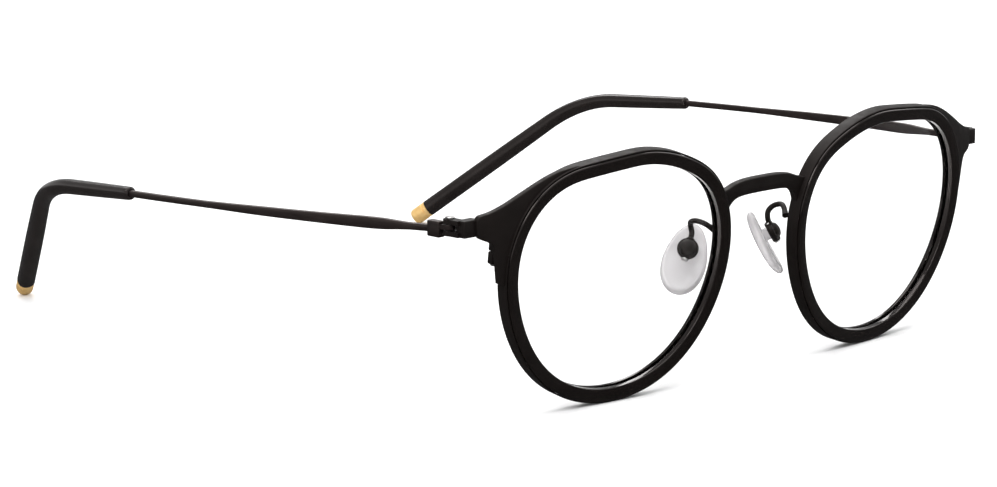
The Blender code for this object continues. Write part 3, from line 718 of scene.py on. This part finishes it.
def make_bridge():
    """Flat arched bar between the rims, with a short leg down each rim."""
    middle = Matrix.Translation((0, BRIDGE_FRONT + BRIDGE_THICK / 2, 0))
    upright = Matrix.Rotation(math.pi / 2, 4, "X")
    plate = rounded_plate("bridge", bridge_outline(), BRIDGE_THICK, BRIDGE_EDGE)
    mesh = boolean(moved(plate, FRONT @ middle @ upright), [rim_space(1), rim_space(-1)], "DIFFERENCE")
    show("bridge_bar", mesh, MATT, "front", ["bridge"], sharp=32)


def screw_mesh(name, radius, low, high, head_radius, head_height):
    """A slotted screw along Z; sizes in millimetres."""
    top = high + head_height
    chamfer = 0.1
    slot_half, slot_depth = 0.1, 0.18
    profile = [(0, top), (head_radius - 0.16, top), (head_radius - 0.05, top - 0.05),
               (head_radius, top - 0.14), (head_radius, high), (radius, high), (radius, low + chamfer),
               (radius - chamfer, low), (0, low)]
    slot = block("slot", (-2, -slot_half, top - slot_depth), (2, slot_half, top + 1), 0)
    return boolean(turned(name, profile, 32), [slot], "DIFFERENCE")


def make_closing():
    """The two clamped halves behind the end piece, and their screw."""
    x0, x1 = CLOSING_INNER / MM, CLOSING_OUTER / MM
    y0, y1 = CLOSING_FRONT / MM, (CLOSING_FRONT + CLOSING_DEPTH) / MM
    split = SPLIT_HEIGHT / MM
    spot = EYE @ Matrix.Translation(Vector(((x0 + x1) / 2, (y0 + y1) / 2, split)) * MM)
    for name, low, high in (("upper", 0.04, 2.2), ("lower", -2.25, -0.04)):
        body = moved(block(name, (x0, y0, split + low), (x1, y1, split + high), 0.3, 4), EYE)
        mesh = boolean(body, [moved(bore_mesh(0.34, 4, 20), spot)], "DIFFERENCE")
        pair(f"closing_{name}", mesh, MATT, "front", [f"left_closing_block_{name}"])
    upside_down = Matrix.Rotation(math.pi, 4, "X")
    mesh = moved(screw_mesh("closing_screw", 0.28, -2.0, 2.3, 0.5, 0.3), spot @ upside_down)
    pair("closing_screw_steel", mesh, STEEL, "front", ["left_closing_screw"])


# ---- nose pads ----------------------------------------------------------------------------------------
def make_pad_arm():
    """Round wire from the rim, up and back over a loop, down to the pad box."""
    route = smooth_route([LENS_MID + Vector(point) * MM for point in ARM_POINTS], 10)
    # a quarter thicker where it is soldered to the rim
    radii = [ARM_RADIUS * (1 + 0.25 * max(0.0, 1 - i / 6)) for i in range(len(route))]
    mesh = bar("arm", route, radii, carried_frames(route, (1, 0, 0)))
    pair("pad_arm_wire", mesh, MATT, "front", ["left_pad_arm"])


def pin_mesh(name, radius, half, chamfer):
    """A round bar along Z with chamfered ends, in millimetres."""
    profile = [(0, half), (radius - chamfer, half), (radius, half - chamfer), (radius, chamfer - half),
               (radius - chamfer, -half), (0, -half)]
    return turned(name, profile, 28)


def make_pad_box():
    """Round cup with a domed back, a stepped rim and lugs for the screw."""
    profile = [(0, 0.9), (1.5, 0.9), (1.62, 0.74), (1.84, 0.68), (1.92, 0.55), (1.92, 0.0), (1.86, -0.14),
               (1.62, -0.22), (1.5, -0.3), (1.45, -0.55), (1.25, -0.86), (0.9, -1.1), (0.45, -1.24),
               (0, -1.28)]
    slot = block("slot", (-0.75, -1.25, -0.5), (0.75, 1.25, 3), 0.05, 2)
    lug = moved(pin_mesh("lug", 0.78, 1.95, 0.1), ACROSS)
    bore = moved(bore_mesh(0.42, 4, 20), ACROSS)
    mesh = boolean(turned("cup", profile, 40), [lug], "UNION")
    mesh = boolean(mesh, [slot, bore], "DIFFERENCE")
    pair("pad_cup", moved(mesh, PAD), MATT, "front", ["left_pad_box"])
    mesh = moved(screw_mesh("pad_screw", 0.35, -1.8, 1.95, 0.65, 0.35), PAD @ ACROSS)
    pair("pad_screw_steel", mesh, STEEL, "front", ["left_pad_screw"])


def egg(angle):
    """Outline of the pad, wider below, as a share of its half sizes."""
    x, y = math.cos(angle), math.sin(angle)
    return Vector((x * (1.0 + 0.14 * y), y))


def pad_mesh():
    """The pad's cushion: rounded edge, and a slightly hollow back with a raised border."""
    sides = 72
    curl = 0.35 * MM
    # share of the outline, and height as a share of half the thickness
    rings = [(0.03, 1.0), (0.25, 0.99), (0.5, 0.95), (0.7, 0.86), (0.84, 0.7), (0.93, 0.45), (0.985, 0.18),
             (1.0, -0.12), (0.985, -0.45), (0.94, -0.72), (0.87, -0.84), (0.8, -0.8), (0.72, -0.7),
             (0.5, -0.62), (0.25, -0.6), (0.03, -0.6)]
    rows = []
    for share, height in rings:
        row = []
        for i in range(sides):
            place = egg(2 * math.pi * i / sides) * share
            lift = height * PAD_THICK / 2 - curl * place.y * place.y
            row.append(Vector((place.x * PAD_WIDTH / 2, place.y * PAD_LENGTH / 2, lift)))
        rows.append(row)
    seat = PAD @ Matrix.Translation((0, PAD_DROP, PAD_STANDOFF))
    piece = linked("pad_work", moved(grid_mesh("pad", rows, caps=True), seat))
    level = piece.modifiers.new("soft", "SUBSURF")
    level.levels = level.render_levels = 1
    return applied(piece)


def make_pad():
    """Clear pad, and its boss for the screw."""
    pair("nose_pad_clear", pad_mesh(), PAD_MATERIAL, "left_pad", ["left_nose_pad"], sharp=60)
    back = (PAD_STANDOFF - PAD_THICK / 2) / MM
    stem = block("stem", (-0.5, -1.05, PIVOT_DEPTH / MM), (0.5, 1.05, back + 0.2), 0.05, 2)
    boss = moved(pin_mesh("boss", 0.55, 1.1, 0.07), ACROSS)
    bore = moved(bore_mesh(0.4, 4, 20), ACROSS)
    mesh = boolean(boolean(boss, [stem], "UNION"), [bore], "DIFFERENCE")
    pair("pad_boss_clear", moved(mesh, PAD), PAD_MATERIAL, "left_pad", ["left_pad_boss"])


# ---- temples ------------------------------------------------------------------------------------------
def make_temple_hinge():
    """Block at the front of the temple with the middle knuckle, and the hinge screw."""
    spot = Matrix.Translation(HINGE)
    half = KNUCKLE_HEIGHT / 2 / MM
    web_top = half - WEB_STEP / MM
    body = block("hinge_block", (-0.15, 1.35, -1.95), (1.35, 4.3, 0.85), 0.26, 4)
    web = block("web", (0.08, 0.17, -web_top), ((KNUCKLE_RADIUS - WEB_STEP) / MM, 1.8, web_top), 0)
    mesh = boolean(body, [web, knuckle_mesh(-half, half, 0.1)], "UNION")
    mesh = boolean(mesh, [bore_mesh(PIN_BORE / MM, 3, 24)], "DIFFERENCE")
    pair("hinge_block_metal", moved(mesh, spot), GUNMETAL, "left_temple", ["left_temple_hinge"],
         sharp=32)
    mesh = moved(screw_mesh("hinge_screw", 0.45, -1.5, 1.56, 0.8, 0.25), spot)
    pair("hinge_screw_steel", mesh, STEEL, "front", ["left_hinge_screw"])


def sleeve_route(straight=20, bend=30, tail=22):
    """Centre line of the tip: straight, one bend, and straight to the cap."""
    into = (BEND_POINT - SLEEVE_START).normalized()
    away = (SLEEVE_END - BEND_POINT).normalized()
    angle = into.angle(away)
    first = BEND_POINT - into * BEND_RADIUS * math.tan(angle / 2)
    centre = first + (away - into.dot(away) * into).normalized() * BEND_RADIUS
    spoke = first - centre
    axis = into.cross(away).normalized()
    route = [SLEEVE_START.lerp(first, i / straight) for i in range(straight)]
    route += [centre + Matrix.Rotation(angle * i / bend, 3, axis) @ spoke for i in range(bend + 1)]
    last = route[-1]
    route += [last.lerp(SLEEVE_END, i / tail) for i in range(1, tail + 1)]
    return route


def make_blade():
    """Flat bar with softly rounded edges, widest behind the hinge and bowed outwards."""
    direction = SLEEVE_START - BLADE_START
    length = direction.length
    x = direction.normalized()
    outward = Vector((1, 0, 0))
    z = (outward - outward.dot(x) * x).normalized()
    y = z.cross(x)
    stations = 150
    start, end = -0.4 * MM, length + 1.2 * MM
    half_thick = BLADE_THICK / MM / 2
    rows = []
    for i in range(stations + 1):
        s = start + (end - start) * i / stations
        half_height = smooth_table(BLADE_HEIGHTS, max(s / MM, 0)) / 2
        share = min(max(s / length, 0), 1)
        centre = BLADE_START + x * s + z * BLADE_BOW * 4 * share * (1 - share)
        section = fillet([(half_height, -half_thick, 0.22), (half_height, half_thick, 0.42),
                          (-half_height, half_thick, 0.3), (-half_height, -half_thick, 0.22)], 4)
        rows.append([centre + y * p.x + z * p.y for p in section])
    mesh = grid_mesh("blade", rows, caps=True)
    pair("temple_bar", mesh, GUNMETAL, "left_temple", ["left_temple_blade"], sharp=50)


def make_sleeve():
    """Tapered plastic tip with a rounded mouth round the metal core."""
    route = sleeve_route()
    ahead = (route[1] - route[0]).normalized()
    reach = [0.0]
    for a, b in zip(route, route[1:]):
        reach.append(reach[-1] + (b - a).length)
    radii = [smooth_table(SLEEVE_RADII, s / reach[-1]) * MM for s in reach]
    rounding = 0.55 * MM
    # from the bottom of the mouth's dimple, out over its rounded lip: (distance from the lip's end, radius)
    lip = [(0.9 * MM, 0.5 * MM), (0.12 * MM, 0.56 * MM)]
    for i in range(6):
        turn = math.pi / 2 * i / 6
        lip.append((rounding * (1 - math.cos(turn)), radii[0] - rounding * (1 - math.sin(turn))))
    lip_route = [route[0] + ahead * (distance - rounding) for distance, radius in lip]
    lip_radii = [radius for distance, radius in lip]
    frames = carried_frames(route, (1, 0, 0))
    mesh = bar("sleeve", lip_route + route, lip_radii + radii, [frames[0]] * len(lip) + frames, 48, 2.35)
    pair("tip_sleeve_satin", mesh, SATIN, "left_temple", ["left_tip_sleeve"], sharp=50)


def make_cap():
    """Gold end cap: a collar, a fine groove and a rounded end."""
    radius = SLEEVE_RADII[-1][1]
    end = -CAP_LENGTH / MM
    lip, groove = radius - 0.05, radius - 0.12
    profile = [(0, 0.0), (radius - 0.1, -0.02), (radius, -0.1), (radius, -0.72), (lip, -0.78), (groove, -0.8),
               (groove, -0.92), (lip, -0.94), (radius, -1.0), (radius + 0.01, -1.6), (radius, -2.9)]
    rounding = 0.75
    for i in range(8):
        turn = math.pi / 2 * i / 7
        profile.append((radius - rounding * (1 - math.cos(turn)), end + rounding * (1 - math.sin(turn))))
    profile.append((0.0, end))
    route = sleeve_route()
    away = (route[-2] - route[-1]).normalized()
    side = away.cross(Vector((1, 0, 0))).normalized()
    turn = Matrix((side.cross(away), side, away)).transposed().to_4x4()
    mesh = moved(turned("cap", profile, 48), Matrix.Translation(SLEEVE_END) @ turn)
    pair("tip_cap_gold", mesh, GOLD, "left_temple", ["left_tip_cap"])


# ---- floor, light and camera --------------------------------------------------------------------------
CAMERA_PLACE = LENS_MID + Vector((-493.28, -440.87, 133.04)) * MM
CAMERA_FALL = math.radians(11.283)                  # how far the camera looks down
CAMERA_TURN = math.radians(-44.231)
CAMERA_LENS = 135.83                                # focal length in millimetres, on a 36 mm sensor


def make_floor():
    """Plain pale ground, left out of the reflections."""
    made = shader_material("pale_floor", (0.93, 0.93, 0.93), 0.9, Specular_IOR_Level=0.1)
    vary_colour(made, noise(made, 40), (0.925, 0.925, 0.925), (0.935, 0.935, 0.935))
    work = bmesh.new()
    bmesh.ops.create_circle(work, cap_ends=True, segments=96, radius=8.0)
    mesh = bpy.data.meshes.new("floor")
    work.to_mesh(mesh)
    work.free()
    mesh.materials.append(made)
    floor = linked("floor", mesh)
    floor.visible_glossy = False


def make_world():
    """A pale room: bright at the horizon, dimmer overhead and dark below."""
    world = bpy.data.worlds.new("studio")
    bpy.context.scene.world = world
    world.use_nodes = True
    nodes, links = world.node_tree.nodes, world.node_tree.links
    place = nodes.new("ShaderNodeTexCoord")
    parts = nodes.new("ShaderNodeSeparateXYZ")
    span = nodes.new("ShaderNodeMapRange")
    span.inputs["From Min"].default_value = -1.0
    span.inputs["From Max"].default_value = 1.0
    ramp = nodes.new("ShaderNodeValToRGB")
    stops = [(0.0, 0.08), (0.49, 0.1), (0.5, 0.95), (0.56, 0.85), (0.68, 0.45), (1.0, 0.4)]
    elements = ramp.color_ramp.elements
    while len(elements) < len(stops):
        elements.new(0.5)
    for element, (position, value) in zip(elements, stops):
        element.position = position
        element.color = (value, value, value, 1)
    links.new(place.outputs["Generated"], parts.inputs["Vector"])
    links.new(parts.outputs["Z"], span.inputs["Value"])
    links.new(span.outputs["Result"], ramp.inputs["Fac"])
    links.new(ramp.outputs["Color"], nodes["Background"].inputs["Color"])
    nodes["Background"].inputs["Strength"].default_value = 1.0


def softbox(name, azimuth, elevation, distance, width, height, power):
    """A soft rectangular lamp that faces the glasses."""
    data = bpy.data.lights.new(name, "AREA")
    data.shape = "RECTANGLE"
    data.size, data.size_y = width, height
    data.energy = power
    lamp = linked(name, data)
    a, e = math.radians(azimuth), math.radians(elevation)
    back = Vector((math.sin(a) * math.cos(e), -math.cos(a) * math.cos(e), math.sin(e)))
    lamp.location = Vector((0, 0, 0.02)) + back * distance
    lamp.rotation_mode = "QUATERNION"
    lamp.rotation_quaternion = (-back).to_track_quat("-Z", "Y")
    lamp.visible_camera = False


def make_lights():
    """Four lamps: azimuth, elevation in degrees, then distance, width, height in metres, and watts."""
    softbox("overhead", 0, 88, 1.6, 1.6, 1.6, 22)
    softbox("key", -70, 42, 1.7, 0.9, 0.7, 12)
    softbox("rear", 150, 40, 1.8, 1.2, 0.5, 10)
    softbox("side", 75, 35, 1.8, 0.7, 0.9, 8)


def make_camera():
    """The photograph's viewpoint."""
    data = bpy.data.cameras.new("camera")
    data.sensor_width = 36.0
    data.lens = CAMERA_LENS
    data.clip_start = 0.01
    data.clip_end = 100.0
    camera = linked("camera", data)
    camera.location = CAMERA_PLACE
    camera.rotation_euler = (math.pi / 2 - CAMERA_FALL, 0, CAMERA_TURN)
    bpy.context.scene.camera = camera


make_camera()
make_world()
make_lights()
make_floor()
make_ring()
make_eyewire()
make_lens()
make_end_piece()
make_bridge()
make_closing()
make_pad_arm()
make_pad_box()
make_pad()
make_temple_hinge()
make_blade()
make_sleeve()
make_cap()
bpy.context.scene.view_settings.view_transform = "Standard"
